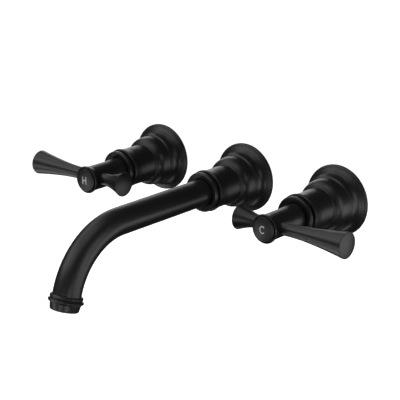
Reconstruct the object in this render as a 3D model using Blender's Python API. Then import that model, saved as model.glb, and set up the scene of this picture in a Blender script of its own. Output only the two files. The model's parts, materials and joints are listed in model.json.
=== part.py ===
"""Wall mounted bath faucet: two quarter-turn levers and a fixed bent spout on three escutcheons.

The finished wall is the plane y = 0, the faucet stands out towards -Y and +Z is up. The origin is
the centre of the spout's escutcheon on the wall. Lengths are in millimetres until a mesh is made.

Each unit has an empty whose local Z points out of the wall, local X to the right and local Y up.
An outline is a list of (distance along the local Z axis, radius) points, turned about that axis.
"""
import math

import bmesh
import bpy
from mathutils import Matrix, Vector

MM = 0.001
WELD = 0.000001

SHELL_SIDES = 24
ARM_SIDES = 20
CORE_SIDES = 12
SMALL_SIDES = 8
SMOOTH_ANGLE = math.radians(35)

HANDLE_SPACING = 203.2
GAP = 0.3

FLANGE_RADIUS = 31.75
FLANGE_LAND = 0.9
FLANGE_DEPTH = 12.0
FLANGE_WEB_BORE = 16.0
FLANGE_WEB_BACK = 9.5
BACK_BORE = 19.0
GASKET_SEAT_RADIUS = 27.3
GASKET_SEAT_DEPTH = 2.2

BELL_SIDE_RADIUS = 22.8
BELL_BEAD_RADIUS = 24.3
SHOULDER_START = 20.0
SHOULDER_DEPTH = 8.6
NECK_TOP_RADIUS = 17.5
NECK_RADIUS = 17.4
LIP_RADIUS = 18.8
BELL_END = 57.2
BELL_BORE = 20.3
NECK_BORE = 15.4

COLLAR_RADIUS = 18.0
COLLAR_END = 63.6
COLLAR_BORE = 12.6
COLLAR_TAIL = 50.0

STUB_BACK = -16.0
STUB_RADIUS = 11.5
STUB_FRONT = 3.0
BODY_SHOULDER_RADIUS = 18.4
BODY_SHOULDER_FRONT = 9.2
BODY_THREAD_RADIUS = 15.1
BODY_END = 46.0
BODY_CHAMBER_RADIUS = 10.0
BODY_CHAMBER_BACK = 14.0
INLET_RADIUS = 5.0

DISC_RADIUS = 8.7
DISC_THICKNESS = 3.0
DISC_BACK = 16.6
PORT_RADIUS = 2.2
PORT_OFFSET = 4.6
SEAL_THICKNESS = 2.3

SPINDLE_RADIUS = 4.2
SPINDLE_BORE = 4.6
SPINDLE_END = 92.0
CARTRIDGE_RADIUS = 9.7
CARTRIDGE_NOSE_RADIUS = 7.0
CARTRIDGE_SHOULDER = 40.0
CARTRIDGE_END = 52.0
NUT_RADIUS = 12.0
SHELL_RING_AT = 33.0

HUB_BACK = 58.0
HUB_RADIUS = 11.2
HUB_RIM_RADIUS = 12.5
HUB_FRONT = 103.7
HUB_RECESS_RADIUS = 11.5
HUB_RECESS_BACK = 100.2
BUTTON_RADIUS = 10.9
BUTTON_TOP = 106.3
LETTER_HEIGHT = 7.0
LETTER_WIDTH = 5.2
LETTER_STROKE = 1.1
LETTER_GAP = 0.1

LEVER_AT = 91.1
ARM_FOOT = 9.5
SHANK_RADIUS = 3.0
SHANK_START = 6.8
SHANK_END = 16.0

TUBE_RADIUS = 11.92
TUBE_BORE = 9.6
TUBE_START = 30.3
TUBE_STRAIGHT_END = 167.0
BEND_RADIUS = 63.3
BEND_ANGLE = math.radians(74)
BEND_STEPS = 9
TUBE_SIDES = 20
TUBE_TAIL = 0.7

NIPPLE_RADIUS = 9.0
NIPPLE_BORE = 6.0
NIPPLE_END = 54.0
NIPPLE_RINGS_AT = (38.0, 46.0)
RING_WIRE_RADIUS = 0.65
GROOVE_HALF_WIDTH = 1.0
GROOVE_RADIUS = 7.7
SET_SCREW_AT = 60.2
SET_SCREW_RADIUS = 1.5

AERATOR_BORE = 10.0
GRID_HOLES = 6
GRID_HOLE_RADIUS = 1.7
GRID_HOLE_OFFSET = 5.2

# name: (colour, roughness, metallic)
FINISHES = {
    "matte_black": ((0.022, 0.022, 0.023), 0.42, 0.0),
    "brass": ((0.72, 0.52, 0.24), 0.32, 1.0),
    "steel": ((0.56, 0.56, 0.57), 0.28, 1.0),
    "ceramic": ((0.86, 0.85, 0.82), 0.25, 0.0),
    "rubber": ((0.03, 0.03, 0.03), 0.7, 0.0),
    "foam": ((0.09, 0.09, 0.09), 0.9, 0.0),
    "plastic": ((0.62, 0.63, 0.64), 0.4, 0.0),
    "index_fill": ((0.62, 0.59, 0.55), 0.5, 0.0),
}


def clear_scene():
    """Remove whatever the file holds, so that only the faucet is left."""
    for old in list(bpy.data.objects):
        bpy.data.objects.remove(old, do_unlink=True)


def finish_material(name):
    """Return the Principled material of a finish, made on first use."""
    found = bpy.data.materials.get(name)
    if found:
        return found
    colour, roughness, metallic = FINISHES[name]
    made = bpy.data.materials.new(name)
    made.use_nodes = True
    shader = made.node_tree.nodes["Principled BSDF"]
    shader.inputs["Base Color"].default_value = (*colour, 1.0)
    shader.inputs["Roughness"].default_value = roughness
    shader.inputs["Metallic"].default_value = metallic
    return made


def empty(name, parent=None, location=(0.0, 0.0, 0.0), tilt=0.0):
    """Add an empty at a place in millimetres, turned about its local X axis."""
    made = bpy.data.objects.new(name, None)
    bpy.context.scene.collection.objects.link(made)
    made.parent = parent
    made.location = Vector(location) * MM
    made.rotation_euler = (tilt, 0.0, 0.0)
    return made


def mesh_object(name, mesh_data, parent, finish):
    """Turn a bmesh in millimetres into a smooth-shaded object of the given finish."""
    bmesh.ops.remove_doubles(mesh_data, verts=mesh_data.verts, dist=WELD / MM)
    bmesh.ops.recalc_face_normals(mesh_data, faces=mesh_data.faces)
    bmesh.ops.scale(mesh_data, vec=(MM, MM, MM), verts=mesh_data.verts)
    mesh = bpy.data.meshes.new(name)
    mesh_data.to_mesh(mesh)
    mesh_data.free()
    mesh.materials.append(finish_material(finish))
    mesh.shade_smooth()
    mesh.set_sharp_from_angle(angle=SMOOTH_ANGLE)
    made = bpy.data.objects.new(name, mesh)
    bpy.context.scene.collection.objects.link(made)
    made.parent = parent
    return made


def turned_mesh(outline, sides):
    """Spin an outline about Z. One that starts and ends on the axis stays open there."""
    mesh_data = bmesh.new()
    points = [mesh_data.verts.new((radius, 0.0, along)) for along, radius in outline]
    solid = outline[0][1] == 0.0 and outline[-1][1] == 0.0
    pairs = list(zip(points, points[1:]))
    if not solid:
        pairs.append((points[-1], points[0]))
    edges = [mesh_data.edges.new(pair) for pair in pairs]
    bmesh.ops.spin(mesh_data, geom=points + edges, cent=(0, 0, 0), axis=(0, 0, 1),
                   angle=math.tau, steps=sides, use_merge=True)
    return mesh_data


def turned(name, outline, parent, finish, sides=CORE_SIDES):
    """Add a turned piece."""
    return mesh_object(name, turned_mesh(outline, sides), parent, finish)


def ring_outline(back, front, inner, outer):
    """Outline of a plain ring."""
    return [(back, inner), (back, outer), (front, outer), (front, inner)]


def rod_outline(back, front, radius):
    """Outline of a plain solid rod."""
    return [(back, 0.0), (back, radius), (front, radius), (front, 0.0)]


def arc_points(centre, radii, start, end, steps):
    """Points on an ellipse arc round centre = (along, radius), angles from the axis direction."""
    angles = [start + (end - start) * step / steps for step in range(steps + 1)]
    return [(centre[0] + radii[0] * math.cos(angle), centre[1] + radii[1] * math.sin(angle))
            for angle in angles]


def boolean(target, tool, operation="DIFFERENCE"):
    """Combine a hidden tool object with the target."""
    tool.hide_render = True
    tool.display_type = "WIRE"
    modifier = target.modifiers.new(tool.name, "BOOLEAN")
    modifier.operation = operation
    modifier.solver = "EXACT"
    modifier.object = tool


# ---------------------------------------------------------------- escutcheon, alike on all units

def flange_outline():
    """Wall flange: thin land at the wall, round shoulder, then a cove up to the bell."""
    shoulder = arc_points((FLANGE_LAND, 28.9), (2.0, 2.85), math.radians(90), math.radians(20), 3)
    cove = arc_points((FLANGE_DEPTH - 0.6, 31.2), (8.3, 7.1), math.radians(-154), math.radians(-90), 3)
    outer = [(0.0, FLANGE_RADIUS)] + shoulder + cove + [(FLANGE_DEPTH, 24.0)]
    inner = [(FLANGE_DEPTH, FLANGE_WEB_BORE), (FLANGE_WEB_BACK, FLANGE_WEB_BORE),
             (FLANGE_WEB_BACK, BACK_BORE), (GASKET_SEAT_DEPTH, BACK_BORE),
             (GASKET_SEAT_DEPTH, GASKET_SEAT_RADIUS), (0.0, GASKET_SEAT_RADIUS)]
    return outer + inner


def bell_outline():
    """Bell: small bead at its foot, nearly straight side, elliptic shoulder, neck and lip."""
    foot = FLANGE_DEPTH + GAP
    bead = [(foot, 23.4), (foot + 0.6, BELL_BEAD_RADIUS), (foot + 1.9, BELL_BEAD_RADIUS),
            (foot + 2.6, BELL_SIDE_RADIUS + 0.1)]
    shoulder = arc_points((SHOULDER_START, NECK_TOP_RADIUS),
                          (SHOULDER_DEPTH, BELL_SIDE_RADIUS - NECK_TOP_RADIUS),
                          math.radians(90), 0.0, 4)
    neck = [(38.0, NECK_RADIUS), (48.0, NECK_RADIUS), (54.0, NECK_RADIUS + 0.9)]
    lip = [(BELL_END - 1.9, LIP_RADIUS - 0.1), (BELL_END - 1.1, LIP_RADIUS),
           (BELL_END, LIP_RADIUS - 0.8)]
    inner = [(BELL_END, NECK_BORE), (27.0, NECK_BORE), (24.0, BELL_BORE), (foot, BELL_BORE)]
    return bead + shoulder + neck + lip + inner


def collar_outline():
    """Collar: tail inside the neck, plain band, small front chamfer and a coned face."""
    band = BELL_END + GAP
    tail = NECK_BORE - GAP
    return [(COLLAR_TAIL, COLLAR_BORE), (COLLAR_TAIL, tail), (band, tail),
            (band, COLLAR_RADIUS), (COLLAR_END - 2.0, COLLAR_RADIUS),
            (COLLAR_END - 1.2, COLLAR_RADIUS - 1.0), (COLLAR_END, COLLAR_BORE + 0.3),
            (COLLAR_END - 0.4, COLLAR_BORE)]


def add_escutcheon(prefix, unit):
    """Gasket, flange, bell and collar of one unit. Returns the collar."""
    turned(prefix + "_gasket", ring_outline(0.0, GASKET_SEAT_DEPTH - GAP, BACK_BORE + 0.5,
                                            GASKET_SEAT_RADIUS - GAP), unit, "foam")
    turned(prefix + "_flange", flange_outline(), unit, "matte_black", SHELL_SIDES)
    turned(prefix + "_bell", bell_outline(), unit, "matte_black", SHELL_SIDES)
    return turned(prefix + "_collar", collar_outline(), unit, "matte_black", SHELL_SIDES)


def wall_stub(bore):
    """First points of a body that ends in a stub in the wall and clamps the flange's web."""
    return [(STUB_BACK, bore), (STUB_BACK, STUB_RADIUS), (STUB_FRONT, STUB_RADIUS),
            (STUB_FRONT, BODY_SHOULDER_RADIUS), (BODY_SHOULDER_FRONT, BODY_SHOULDER_RADIUS)]


# ---------------------------------------------------------------- valve inside a handle unit

def add_ports(disc, unit, name, turn):
    """Cut the two water ports through a ceramic disc."""
    direction = Matrix.Rotation(turn, 3, "Z") @ Vector((PORT_OFFSET, 0.0, 0.0))
    for side, sign in (("a", 1.0), ("b", -1.0)):
        cutter = turned(f"{name}_port_{side}", rod_outline(0.0, 40.0, PORT_RADIUS), unit,
                        "steel", SMALL_SIDES)
        cutter.location = direction * (sign * MM)
        boolean(disc, cutter)


def cartridge_outline():
    """Cartridge casing: disc chamber at the back, ring groove, shoulder and nose."""
    chamber = DISC_RADIUS + GAP
    chamber_front = DISC_BACK + 9.6
    groove = [(SHELL_RING_AT - GROOVE_HALF_WIDTH, CARTRIDGE_RADIUS),
              (SHELL_RING_AT - GROOVE_HALF_WIDTH, CARTRIDGE_RADIUS - 1.7),
              (SHELL_RING_AT + GROOVE_HALF_WIDTH, CARTRIDGE_RADIUS - 1.7),
              (SHELL_RING_AT + GROOVE_HALF_WIDTH, CARTRIDGE_RADIUS)]
    return ([(DISC_BACK + 0.4, chamber), (DISC_BACK + 0.4, CARTRIDGE_RADIUS)] + groove
            + [(CARTRIDGE_SHOULDER, CARTRIDGE_RADIUS), (CARTRIDGE_SHOULDER, CARTRIDGE_NOSE_RADIUS),
               (CARTRIDGE_END, CARTRIDGE_NOSE_RADIUS), (CARTRIDGE_END, SPINDLE_BORE),
               (chamber_front, SPINDLE_BORE), (chamber_front, chamber)])


def o_ring(name, at, radius, unit):
    """Add an O-ring of the common wire size."""
    outline = arc_points((at, radius), (RING_WIRE_RADIUS, RING_WIRE_RADIUS), 0.0,
                         math.radians(300), 5)
    return turned(name, outline[::-1], unit, "rubber", CORE_SIDES)


def add_valve(prefix, unit):
    """Fixed pieces of the valve, from the wall outwards."""
    body = wall_stub(INLET_RADIUS) + [
        (BODY_SHOULDER_FRONT, BODY_THREAD_RADIUS), (BODY_END, BODY_THREAD_RADIUS),
        (BODY_END, BODY_CHAMBER_RADIUS), (BODY_CHAMBER_BACK, BODY_CHAMBER_RADIUS),
        (BODY_CHAMBER_BACK, INLET_RADIUS)]
    turned(prefix + "_valve_body", body, unit, "brass", ARM_SIDES)
    turned(prefix + "_inlet_seal",
           ring_outline(DISC_BACK - SEAL_THICKNESS, DISC_BACK - GAP, INLET_RADIUS + 0.4, DISC_RADIUS),
           unit, "rubber")
    fixed_disc = turned(prefix + "_fixed_disc",
                        rod_outline(DISC_BACK, DISC_BACK + DISC_THICKNESS, DISC_RADIUS),
                        unit, "ceramic")
    add_ports(fixed_disc, unit, prefix + "_fixed", 0.0)
    turned(prefix + "_cartridge_shell", cartridge_outline(), unit, "brass")
    o_ring(prefix + "_o_ring", SHELL_RING_AT, CARTRIDGE_RADIUS - RING_WIRE_RADIUS, unit)
    add_bonnet_nut(prefix, unit)


def add_bonnet_nut(prefix, unit):
    """Hexagonal nut whose round spigot screws into the body and holds the cartridge down."""
    name = prefix + "_bonnet_nut"
    nut = turned(name, rod_outline(BODY_END + GAP, CARTRIDGE_END - 1.5, NUT_RADIUS), unit, "brass", 6)
    spigot = turned(name + "_spigot",
                    rod_outline(CARTRIDGE_SHOULDER + GAP, BODY_END + 1.0, BODY_CHAMBER_RADIUS - GAP),
                    unit, "brass")
    bore = turned(name + "_bore",
                  rod_outline(CARTRIDGE_SHOULDER - 1.0, CARTRIDGE_END, CARTRIDGE_NOSE_RADIUS + 0.4),
                  unit, "brass")
    boolean(nut, spigot, "UNION")
    boolean(nut, bore)


# ---------------------------------------------------------------- lever

def hub_outline():
    """Hub: faint waist behind the arms, flare at the front rim, stepped bore for the spindle."""
    outer = [(HUB_BACK, 12.1), (COLLAR_END, 12.1), (68.0, 11.6), (74.5, HUB_RADIUS),
             (97.2, HUB_RADIUS), (100.0, 11.7), (HUB_FRONT - 0.9, HUB_RIM_RADIUS),
             (HUB_FRONT, HUB_RIM_RADIUS - 0.3)]
    inner = [(HUB_FRONT, HUB_RECESS_RADIUS), (HUB_RECESS_BACK, HUB_RECESS_RADIUS),
             (HUB_RECESS_BACK, SPINDLE_RADIUS), (96.5, SPINDLE_RADIUS), (96.5, 2.4),
             (SPINDLE_END + GAP, 2.4), (SPINDLE_END + GAP, SPINDLE_BORE), (76.0, SPINDLE_BORE),
             (76.0, 8.5), (HUB_BACK, 8.5)]
    return outer + inner


def arm_outline(length, throat, throat_at, end_radius):
    """Trumpet arm: slim throat near the hub, flaring as a power curve to a domed end."""
    flare = [(throat_at + (length - throat_at) * step / 6,
              throat + (end_radius - throat) * (step / 6) ** 1.55) for step in range(7)]
    dome = [(length + 0.7, end_radius * 0.6), (length + 0.9, 0.0)]
    return [(ARM_FOOT, 0.0), (ARM_FOOT, throat)] + flare + dome


def add_arm(name, outline, lever, hub, direction):
    """One arm on the hub's side: direction +1 points along local X, -1 against it."""
    turn = (0.0, direction * math.pi / 2, 0.0)
    place = Vector((0.0, 0.0, LEVER_AT)) * MM
    arm = turned(name, outline, lever, "matte_black", ARM_SIDES)
    shank = turned(name + "_shank", rod_outline(SHANK_START, SHANK_END, SHANK_RADIUS), lever,
                   "steel", SMALL_SIDES)
    bore = turned(name + "_bore", rod_outline(SHANK_START - GAP, SHANK_END, SHANK_RADIUS + GAP),
                  lever, "steel", SMALL_SIDES)
    for piece in (arm, shank, bore):
        piece.location = place
        piece.rotation_euler = turn
    saddle = turned(name + "_saddle", rod_outline(80.0, 100.0, HUB_RADIUS + GAP), lever, "steel",
                    SHELL_SIDES)
    boolean(arm, saddle)
    boolean(arm, shank, "UNION")
    boolean(hub, bore)


def letter_h():
    """Corner points of a plain H."""
    half_width, half_height, half_bar = LETTER_WIDTH / 2, LETTER_HEIGHT / 2, LETTER_STROKE / 2
    stem = half_width - LETTER_STROKE
    quarter = [(half_width, half_height), (stem, half_height), (stem, half_bar)]
    mirrored = [(-x, y) for x, y in reversed(quarter)]
    upper = quarter + mirrored
    return upper + [(-x, -y) for x, y in upper]


def letter_c():
    """Corner points of a plain C, open to the right."""
    open_angle, steps = math.radians(42), 10
    outer_radii = (LETTER_WIDTH / 2 + 0.4, LETTER_HEIGHT / 2)
    inner_radii = (outer_radii[0] - LETTER_STROKE, outer_radii[1] - LETTER_STROKE)
    outer = arc_points((0.0, 0.0), outer_radii, open_angle, math.tau - open_angle, steps)
    inner = arc_points((0.0, 0.0), inner_radii, math.tau - open_angle, open_angle, steps)
    return outer + inner


def add_letter(name, corners, lever):
    """Extrude a letter's outline on the flat crown of the index button."""
    mesh_data = bmesh.new()
    base = crown_flat() + LETTER_GAP
    face = mesh_data.faces.new([mesh_data.verts.new((x, y, base)) for x, y in corners])
    grown = bmesh.ops.extrude_face_region(mesh_data, geom=[face])["geom"]
    raised = [item for item in grown if isinstance(item, bmesh.types.BMVert)]
    bmesh.ops.translate(mesh_data, verts=raised, vec=(0.0, 0.0, BUTTON_TOP - base))
    mesh_object(name, mesh_data, lever, "index_fill")


def button_dome(radius):
    """Height of the button's spherical crown at a radius."""
    rise = BUTTON_TOP - HUB_FRONT
    sphere = (BUTTON_RADIUS ** 2 + rise ** 2) / (2 * rise)
    return BUTTON_TOP - sphere + math.sqrt(sphere ** 2 - radius ** 2)


def crown_flat():
    """Height of the small flat that carries the letter."""
    return button_dome(LETTER_HEIGHT * 0.75)


def button_outline():
    """Index button: plain side in the hub's recess and a shallow crown with a small flat."""
    back = HUB_RECESS_BACK + GAP
    crown = [(button_dome(radius), radius) for radius in (BUTTON_RADIUS, 8.4, LETTER_HEIGHT * 0.75)]
    return [(back, 0.0), (back, BUTTON_RADIUS)] + crown + [(crown_flat(), 0.0)]


def add_lever(prefix, unit, outward):
    """Everything that turns with one lever. outward is the long arm's sense along X."""
    lever = empty(prefix + "_lever", unit)
    turning_back = DISC_BACK + DISC_THICKNESS + GAP
    turning_disc = turned(prefix + "_turning_disc",
                          rod_outline(turning_back, turning_back + DISC_THICKNESS, DISC_RADIUS),
                          lever, "ceramic")
    add_ports(turning_disc, lever, prefix + "_turning", math.pi / 2)
    driver_back = turning_back + DISC_THICKNESS + GAP
    turned(prefix + "_spindle",
           [(driver_back, 0.0), (driver_back, DISC_RADIUS - 0.2), (driver_back + 2.6, DISC_RADIUS - 0.2),
            (driver_back + 2.6, SPINDLE_RADIUS), (SPINDLE_END, SPINDLE_RADIUS), (SPINDLE_END, 2.3),
            (81.0, 2.3), (81.0, 0.0)], lever, "brass")
    hub = turned(prefix + "_hub", hub_outline(), lever, "matte_black", SHELL_SIDES)
    add_arm(prefix + "_long_arm", arm_outline(72.8, 5.65, 22.0, 11.2), lever, hub, outward)
    add_arm(prefix + "_short_arm", arm_outline(35.2, 5.65, 15.5, 11.2), lever, hub, -outward)
    turned(prefix + "_handle_screw",
           [(83.0, 0.0), (83.0, 2.0), (96.8, 2.0), (96.8, 3.8), (99.8, 3.8), (99.8, 1.5),
            (98.3, 1.5), (98.3, 0.0)], lever, "steel", SMALL_SIDES)
    turned(prefix + "_index_button", button_outline(), lever, "matte_black", ARM_SIDES)
    corners = letter_h() if prefix == "hot" else letter_c()
    add_letter(prefix + "_index_letter", corners, lever)


# ---------------------------------------------------------------- spout

def tube_path():
    """Centre line of the spout as (point, direction) in the unit's frame."""
    out, down = Vector((0.0, 0.0, 1.0)), Vector((0.0, -1.0, 0.0))
    stations = [(out * TUBE_START, out)]
    for step in range(BEND_STEPS + 1):
        angle = BEND_ANGLE * step / BEND_STEPS
        point = (out * (TUBE_STRAIGHT_END + BEND_RADIUS * math.sin(angle))
                 + down * (BEND_RADIUS * (1 - math.cos(angle))))
        stations.append((point, out * math.cos(angle) + down * math.sin(angle)))
    end_point, end_direction = stations[-1]
    stations.append((end_point + end_direction * TUBE_TAIL, end_direction))
    return stations


def ring_of_vertices(mesh_data, centre, direction, radius):
    """Circle of vertices across a station of the tube."""
    side = Vector((1.0, 0.0, 0.0))
    up = direction.cross(side)
    angles = [math.tau * step / TUBE_SIDES for step in range(TUBE_SIDES)]
    return [mesh_data.verts.new(centre + (side * math.cos(angle) + up * math.sin(angle)) * radius)
            for angle in angles]


def join_rings(mesh_data, first, second):
    """Skin two circles of vertices with quads."""
    for index in range(TUBE_SIDES):
        following = (index + 1) % TUBE_SIDES
        mesh_data.faces.new((first[index], first[following], second[following], second[index]))


def add_tube(unit):
    """The bent spout pipe with its water way."""
    mesh_data = bmesh.new()
    stations = tube_path()
    outer = [ring_of_vertices(mesh_data, point, direction, TUBE_RADIUS) for point, direction in stations]
    inner = [ring_of_vertices(mesh_data, point, direction, TUBE_BORE) for point, direction in stations]
    loop = outer + inner[::-1]
    for first, second in zip(loop, loop[1:] + loop[:1]):
        join_rings(mesh_data, first, second)
    mesh_object("spout_tube", mesh_data, unit, "matte_black")


def nipple_outline():
    """Supply nipple: wall stub, clamping shoulder, and a nose with two ring grooves."""
    grooves = []
    for at in NIPPLE_RINGS_AT:
        grooves += [(at - GROOVE_HALF_WIDTH, NIPPLE_RADIUS), (at - GROOVE_HALF_WIDTH, GROOVE_RADIUS),
                    (at + GROOVE_HALF_WIDTH, GROOVE_RADIUS), (at + GROOVE_HALF_WIDTH, NIPPLE_RADIUS)]
    return (wall_stub(NIPPLE_BORE) + [(BODY_SHOULDER_FRONT, NIPPLE_RADIUS)] + grooves
            + [(NIPPLE_END, NIPPLE_RADIUS), (NIPPLE_END, NIPPLE_BORE)])


def bushing_outline():
    """Bushing between nipple and bell, bored for the end of the spout pipe."""
    return [(BODY_SHOULDER_FRONT + GAP, NIPPLE_RADIUS + GAP),
            (BODY_SHOULDER_FRONT + GAP, BODY_THREAD_RADIUS), (BODY_END, BODY_THREAD_RADIUS),
            (BODY_END, TUBE_RADIUS + 0.4), (TUBE_START - GAP, TUBE_RADIUS + 0.4),
            (TUBE_START - GAP, NIPPLE_RADIUS + GAP)]


def add_set_screw(unit, collar):
    """Grub screw through the underside of the spout's collar, and its hole."""
    place = Vector((0.0, 0.0, SET_SCREW_AT)) * MM
    hole = turned("spout_set_screw_hole", rod_outline(11.0, 20.0, SET_SCREW_RADIUS + GAP), unit,
                  "steel", SMALL_SIDES)
    boolean(collar, hole)
    tip = TUBE_RADIUS + 0.4
    screw = turned("spout_set_screw",
                   [(tip, 0.0), (tip, SET_SCREW_RADIUS), (17.3, SET_SCREW_RADIUS), (17.3, 0.8),
                    (15.8, 0.8), (15.8, 0.0)], unit, "steel", SMALL_SIDES)
    for piece in (hole, screw):
        piece.location = place
        piece.rotation_euler = (math.pi / 2, 0.0, 0.0)


def tip_ring_outline():
    """Outlet ring: spigot in the pipe, small bead, larger bead."""
    small_bead = arc_points((2.6, 12.2), (1.5, 1.65), math.radians(155), math.radians(25), 3)
    large_bead = arc_points((5.5, 12.8), (1.4, 2.2), math.radians(160), math.radians(15), 3)
    return ([(-2.0, 7.8), (-2.0, 9.0), (1.0, 9.0), (1.0, 12.0)] + small_bead + large_bead
            + [(7.0, 12.9), (7.0, 9.6), (2.0, 9.6), (2.0, 7.8)])


def add_outlet(tip):
    """Tip ring, aerator housing and what it holds, along the outlet's own axis."""
    turned("spout_tip_ring", tip_ring_outline(), tip, "matte_black", SHELL_SIDES)
    turned("spout_aerator_washer", ring_outline(2.3, 3.9, 8.0, 9.3), tip, "rubber")
    turned("spout_aerator_housing",
           [(4.2, 8.0), (4.2, 9.3), (7.3, 9.3), (7.3, 12.9), (8.0, 12.95), (13.0, 11.95),
            (13.7, 11.4), (13.7, AERATOR_BORE), (8.9, AERATOR_BORE), (8.9, 8.0)],
           tip, "matte_black", SHELL_SIDES)
    turned("spout_aerator_insert",
           [(4.6, 5.5), (4.6, 7.6), (9.2, 7.6), (9.2, 9.6), (12.2, 9.6), (12.2, 3.0), (11.0, 3.0),
            (11.0, 5.5)], tip, "plastic")
    grid = turned("spout_aerator_grid", rod_outline(12.5, 13.3, AERATOR_BORE - 0.4), tip, "plastic")
    for index in range(GRID_HOLES):
        angle = math.tau * index / GRID_HOLES
        cutter = turned(f"grid_hole_{index}", rod_outline(10.0, 16.0, GRID_HOLE_RADIUS), tip,
                        "steel", SMALL_SIDES)
        cutter.location = Vector((math.cos(angle), math.sin(angle), 0.0)) * (GRID_HOLE_OFFSET * MM)
        boolean(grid, cutter)


def add_spout(unit, collar):
    """Spout unit beyond its escutcheon."""
    turned("spout_nipple", nipple_outline(), unit, "brass", ARM_SIDES)
    for name, at in zip(("spout_rear_o_ring", "spout_front_o_ring"), NIPPLE_RINGS_AT):
        o_ring(name, at, GROOVE_RADIUS + GAP + RING_WIRE_RADIUS, unit)
    turned("spout_bushing", bushing_outline(), unit, "brass", ARM_SIDES)
    add_tube(unit)
    add_set_screw(unit, collar)
    bend_out = TUBE_STRAIGHT_END + BEND_RADIUS * math.sin(BEND_ANGLE)
    bend_down = -BEND_RADIUS * (1 - math.cos(BEND_ANGLE))
    add_outlet(empty("spout_outlet", unit, (0.0, bend_down, bend_out), BEND_ANGLE))


def build():
    """Build the three units side by side on the wall."""
    clear_scene()
    out_of_wall = math.pi / 2
    for prefix, outward in (("hot", -1.0), ("cold", 1.0)):
        unit = empty(prefix + "_unit", None, (outward * HANDLE_SPACING / 2, 0.0, 0.0), out_of_wall)
        add_escutcheon(prefix, unit)
        add_valve(prefix, unit)
        add_lever(prefix, unit, outward)
    spout = empty("spout_unit", None, (0.0, 0.0, 0.0), out_of_wall)
    add_spout(spout, add_escutcheon("spout", spout))


build()
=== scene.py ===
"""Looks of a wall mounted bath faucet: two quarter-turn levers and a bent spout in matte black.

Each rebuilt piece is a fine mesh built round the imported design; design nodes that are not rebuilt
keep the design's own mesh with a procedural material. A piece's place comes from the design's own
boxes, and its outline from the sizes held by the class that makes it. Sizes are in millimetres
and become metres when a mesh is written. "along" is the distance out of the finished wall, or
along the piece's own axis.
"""
from __future__ import annotations

import json
import logging
import math
from dataclasses import dataclass, field
from enum import Enum

import bmesh
import bpy
from mathutils import Matrix, Vector


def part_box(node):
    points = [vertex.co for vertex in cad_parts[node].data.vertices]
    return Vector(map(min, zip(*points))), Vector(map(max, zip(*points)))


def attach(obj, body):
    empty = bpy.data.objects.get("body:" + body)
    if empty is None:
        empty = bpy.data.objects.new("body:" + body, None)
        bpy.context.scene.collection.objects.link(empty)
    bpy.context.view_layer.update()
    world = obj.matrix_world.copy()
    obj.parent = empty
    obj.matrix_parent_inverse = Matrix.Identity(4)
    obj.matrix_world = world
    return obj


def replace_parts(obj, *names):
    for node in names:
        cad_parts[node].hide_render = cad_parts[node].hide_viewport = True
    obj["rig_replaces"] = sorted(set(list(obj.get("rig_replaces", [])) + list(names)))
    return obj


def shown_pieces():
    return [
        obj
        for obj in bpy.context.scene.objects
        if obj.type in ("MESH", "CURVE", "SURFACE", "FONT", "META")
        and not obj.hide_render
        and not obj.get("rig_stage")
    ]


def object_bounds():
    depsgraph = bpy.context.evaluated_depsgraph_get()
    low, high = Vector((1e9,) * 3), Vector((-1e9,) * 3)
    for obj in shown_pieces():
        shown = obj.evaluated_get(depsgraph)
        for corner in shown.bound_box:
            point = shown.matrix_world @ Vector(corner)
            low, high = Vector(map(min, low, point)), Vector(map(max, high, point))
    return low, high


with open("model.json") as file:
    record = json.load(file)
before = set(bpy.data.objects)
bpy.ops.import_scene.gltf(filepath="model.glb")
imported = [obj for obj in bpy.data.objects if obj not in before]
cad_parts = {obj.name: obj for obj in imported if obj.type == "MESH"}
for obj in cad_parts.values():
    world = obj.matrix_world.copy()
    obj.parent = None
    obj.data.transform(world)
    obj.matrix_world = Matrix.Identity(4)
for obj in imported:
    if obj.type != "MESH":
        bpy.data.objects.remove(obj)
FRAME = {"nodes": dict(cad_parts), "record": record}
CAD_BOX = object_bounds()

MM = 0.001
LOG = logging.getLogger("faucet")

Point = tuple[float, float]
Corner = tuple[float, float, float]


class Side(Enum):
    """The three units on the wall, by the prefix of their nodes."""

    HOT = "hot"
    SPOUT = "spout"
    COLD = "cold"


class Slot(Enum):
    """Material slots of the record."""

    MATTE_BLACK = "matte_black"
    BRASS = "brass"
    STEEL = "steel"
    CERAMIC = "ceramic"
    RUBBER = "rubber"
    FOAM = "foam"
    PLASTIC = "plastic"
    INDEX_FILL = "index_fill"


# ------------------------------------------------------------------ outlines

FILLET_STEP = math.radians(12.0)
SUPPORT = 0.25


def fillet_arc(before: Point, corner: Point, after: Point, radius: float) -> list[Point]:
    """Round one corner of an outline.

    Args:
        before: The point ahead of the corner.
        corner: The corner itself.
        after: The point past the corner.
        radius: Fillet radius, shortened where the corner's sides are too short for it.

    Returns:
        Points along the fillet, or the corner alone where there is nothing to round.
    """
    here = Vector(corner)
    back, ahead = Vector(before) - here, Vector(after) - here
    if radius <= 0.0 or back.length < 1e-6 or ahead.length < 1e-6:
        return [corner]
    turn = math.pi - back.angle(ahead)
    if turn < math.radians(1.0):
        return [corner]
    reach = min(radius * math.tan(turn / 2), 0.48 * back.length, 0.48 * ahead.length)
    radius = reach / math.tan(turn / 2)
    start = here + back.normalized() * reach
    centre = here + (back.normalized() + ahead.normalized()).normalized() * (radius / math.cos(turn / 2))
    spoke = start - centre
    sense = 1.0 if back.x * ahead.y - back.y * ahead.x < 0.0 else -1.0
    steps = max(2, math.ceil(turn / FILLET_STEP))
    arc = []
    for step in range(steps + 1):
        spun = Matrix.Rotation(sense * turn * step / steps, 2) @ spoke
        arc.append(tuple(centre + spun))
    return arc


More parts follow.
